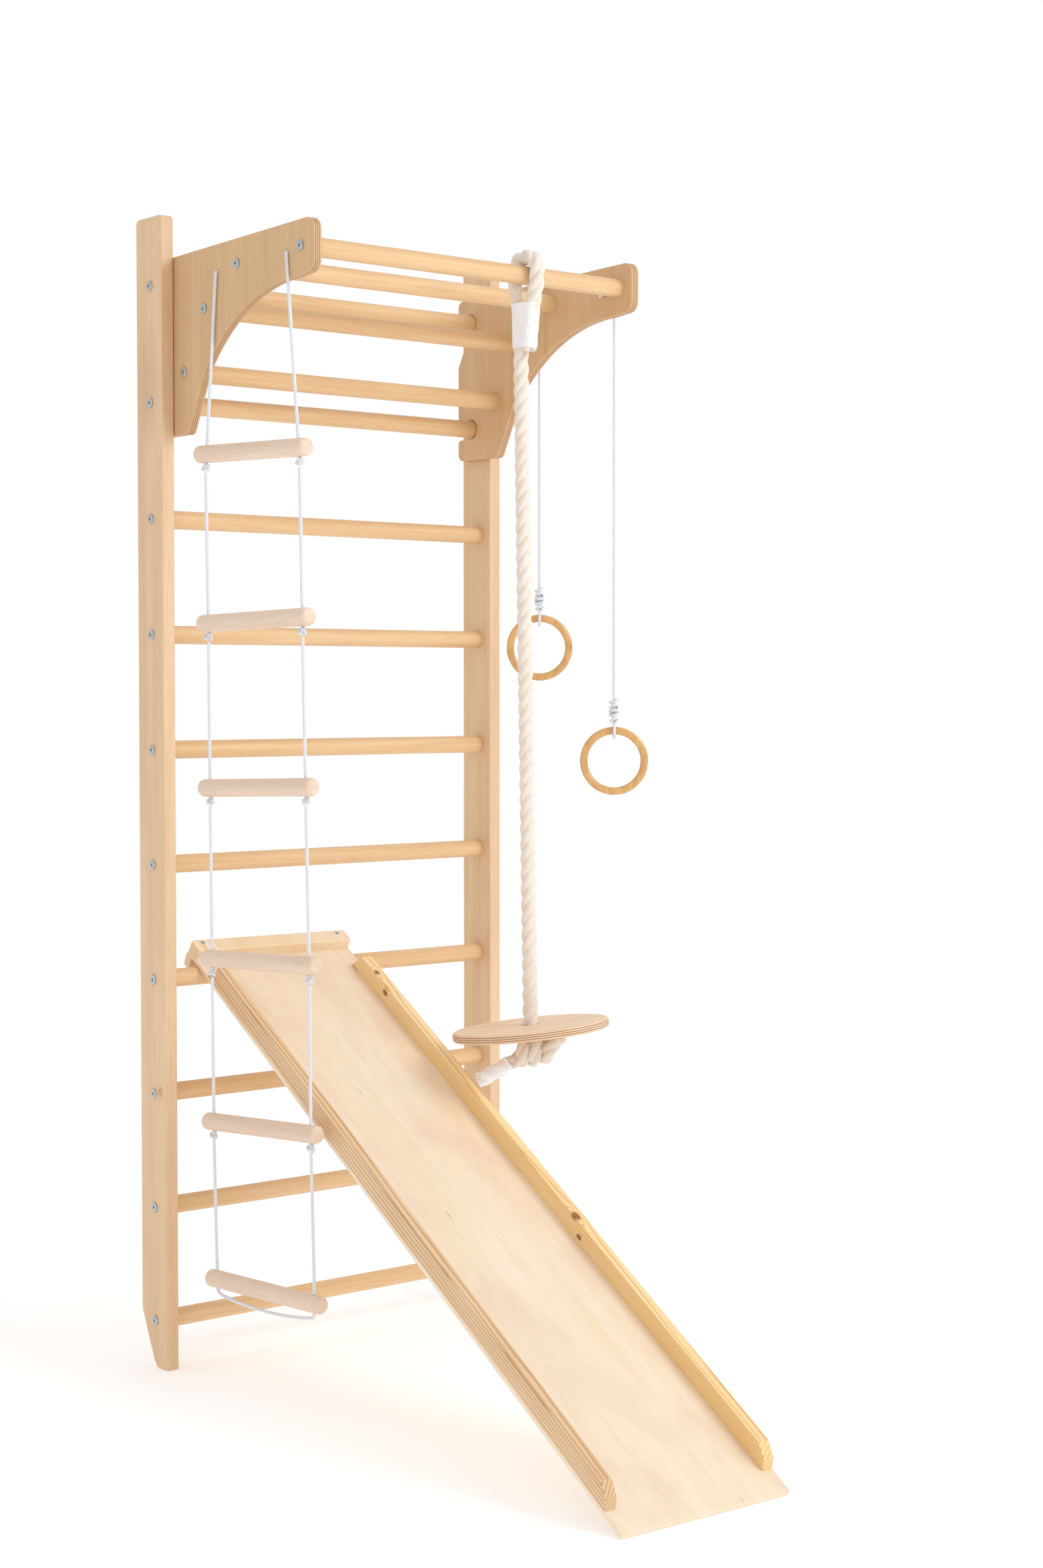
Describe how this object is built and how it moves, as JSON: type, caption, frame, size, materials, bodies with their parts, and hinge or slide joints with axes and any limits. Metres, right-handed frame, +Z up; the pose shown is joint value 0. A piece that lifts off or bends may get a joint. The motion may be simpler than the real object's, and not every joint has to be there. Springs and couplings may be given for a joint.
{
  "type": "wall bars gym",
  "caption": "Wooden wall bars with a hook-on pull-up frame that carries a rope ladder, a climbing rope with a disc seat and hand rings, and a hook-on slide.",
  "frame": {"origin": "on the floor, against the wall, midway between the two posts", "axes": "+X along the rungs towards the rings, +Y into the wall, +Z up"},
  "size_m": [0.8594, 1.3649, 2.2],
  "materials": {
    "beech": "lacquered smooth",
    "birch_plywood": "lacquered plywood with striped edges",
    "slide_board": "smooth lacquered",
    "pine": "planed with knots",
    "varnished_ring": "glossy yellow varnish",
    "zinc_steel": "zinc plated",
    "white_cord": "braided",
    "cotton_rope": "three strand laid",
    "white_tape": "smooth tape"
  },
  "bodies": {
    "wall_bars": {"left_post": "beech", "right_post": "beech", "rung_1": "beech", "rung_2": "beech", "rung_3": "beech", "rung_4": "beech", "rung_5": "beech", "rung_6": "beech", "rung_7": "beech", "rung_8": "beech", "rung_9": "beech", "rung_10": "beech", "rung_screws_left": "zinc_steel", "rung_screws_right": "zinc_steel", "wall_hanger_plates": "zinc_steel", "wall_hanger_screws": "zinc_steel"},
    "pull_up_frame": {"left_panel": "birch_plywood", "right_panel": "birch_plywood", "grip_bar_front": "beech", "grip_bar_middle": "beech", "frame_bar_upper": "beech", "frame_bar_lower": "beech", "panel_screws_left": "zinc_steel", "panel_screws_right": "zinc_steel", "cord_stoppers_left": "white_cord", "cord_stoppers_right": "white_cord"},
    "slide": {"slide_board": "slide_board", "slide_rail_left": "pine", "slide_rail_right": "pine", "slide_top_cleat": "pine", "slide_hook_cleat": "pine", "slide_cleat_screws": "zinc_steel", "slide_rail_screws": "zinc_steel"},
    "hanging_rope": {"climbing_rope": "cotton_rope", "rope_eye_tape": "white_tape", "rope_stopper_knot": "cotton_rope", "rope_tail": "cotton_rope", "rope_tail_tape": "white_tape"},
    "seat": {"disc_seat": "birch_plywood"},
    "ring_line_rear": {"ring_cord_rear": "white_cord"},
    "ring_line_front": {"ring_cord_front": "white_cord"},
    "rear_ring": {"ring_rear": "varnished_ring"},
    "front_ring": {"ring_front": "varnished_ring"},
    "ladder_stage_1": {"ladder_rung_1": "beech", "ladder_cords_1": "white_cord"},
    "ladder_stage_2": {"ladder_rung_2": "beech", "ladder_cords_2": "white_cord"},
    "ladder_stage_3": {"ladder_rung_3": "beech", "ladder_cords_3": "white_cord"},
    "ladder_stage_4": {"ladder_rung_4": "beech", "ladder_cords_4": "white_cord"},
    "ladder_stage_5": {"ladder_rung_5": "beech", "ladder_cords_5": "white_cord"},
    "ladder_stage_6": {"ladder_rung_6": "beech", "ladder_cord_6": "white_cord"}
  },
  "joints": [
    {"name": "frame_lift", "type": "hinge", "parent": "wall_bars", "child": "pull_up_frame", "pos_m": [0, -0.05, 2.07], "axis": [-1, 0, 0], "range_deg": [0, 7]},
    {"name": "slide_lift", "type": "hinge", "parent": "wall_bars", "child": "slide", "pos_m": [-0.14, -0.05, 0.75], "axis": [-1, 0, 0], "range_deg": [0, 3]},
    {"name": "rope_swing", "type": "hinge", "parent": "pull_up_frame", "child": "hanging_rope", "pos_m": [0.132, -0.515, 2.087], "axis": [1, 0, 0], "range_deg": [-35, 0]},
    {"name": "seat_spin", "type": "hinge", "parent": "hanging_rope", "child": "seat", "pos_m": [0.132, -0.52925, 0.658], "axis": [-0.0593, 0.0939, 0.9938], "continuous": true},
    {"name": "ring_line_swing_rear", "type": "hinge", "parent": "pull_up_frame", "child": "ring_line_rear", "pos_m": [0.391, -0.244, 2.075], "axis": [0, 1, 0], "range_deg": [-35, 0]},
    {"name": "ring_tilt_rear", "type": "hinge", "parent": "ring_line_rear", "child": "rear_ring", "pos_m": [0.391, -0.244, 1.451], "axis": [0.766, -0.6428, 0], "range_deg": [-45, 45]},
    {"name": "ring_line_swing_front", "type": "hinge", "parent": "pull_up_frame", "child": "ring_line_front", "pos_m": [0.391, -0.475, 2.08], "axis": [0, 1, 0], "range_deg": [-35, 0]},
    {"name": "ring_tilt_front", "type": "hinge", "parent": "ring_line_front", "child": "front_ring", "pos_m": [0.391, -0.475, 1.224], "axis": [0.766, -0.6428, 0], "range_deg": [-45, 45]},
    {"name": "ladder_bend_1", "type": "hinge", "parent": "pull_up_frame", "child": "ladder_stage_1", "pos_m": [-0.3852, -0.3595, 2.0775], "axis": [0, 1, 0], "range_deg": [0, 12]},
    {"name": "ladder_bend_2", "type": "hinge", "parent": "ladder_stage_1", "child": "ladder_stage_2", "pos_m": [-0.3882, -0.3655, 1.7012], "axis": [-0.0174, 0.9994, 0.0314], "range_deg": [0, 12]},
    {"name": "ladder_bend_3", "type": "hinge", "parent": "ladder_stage_2", "child": "ladder_stage_3", "pos_m": [-0.3837, -0.3655, 1.3952], "axis": [-0.0192, 0.9997, -0.0175], "range_deg": [0, 12]},
    {"name": "ladder_bend_4", "type": "hinge", "parent": "ladder_stage_3", "child": "ladder_stage_4", "pos_m": [-0.3797, -0.3655, 1.0912], "axis": [-0.0331, 0.9988, -0.0349], "range_deg": [0, 12]},
    {"name": "ladder_bend_5", "type": "hinge", "parent": "ladder_stage_4", "child": "ladder_stage_5", "pos_m": [-0.3752, -0.3655, 0.7722], "axis": [-0.0453, 0.9982, -0.0384], "range_deg": [0, 12]},
    {"name": "ladder_bend_6", "type": "hinge", "parent": "ladder_stage_5", "child": "ladder_stage_6", "pos_m": [-0.3732, -0.3655, 0.4672], "axis": [-0.0453, 0.9974, -0.0557], "range_deg": [0, 12]}
  ]
}
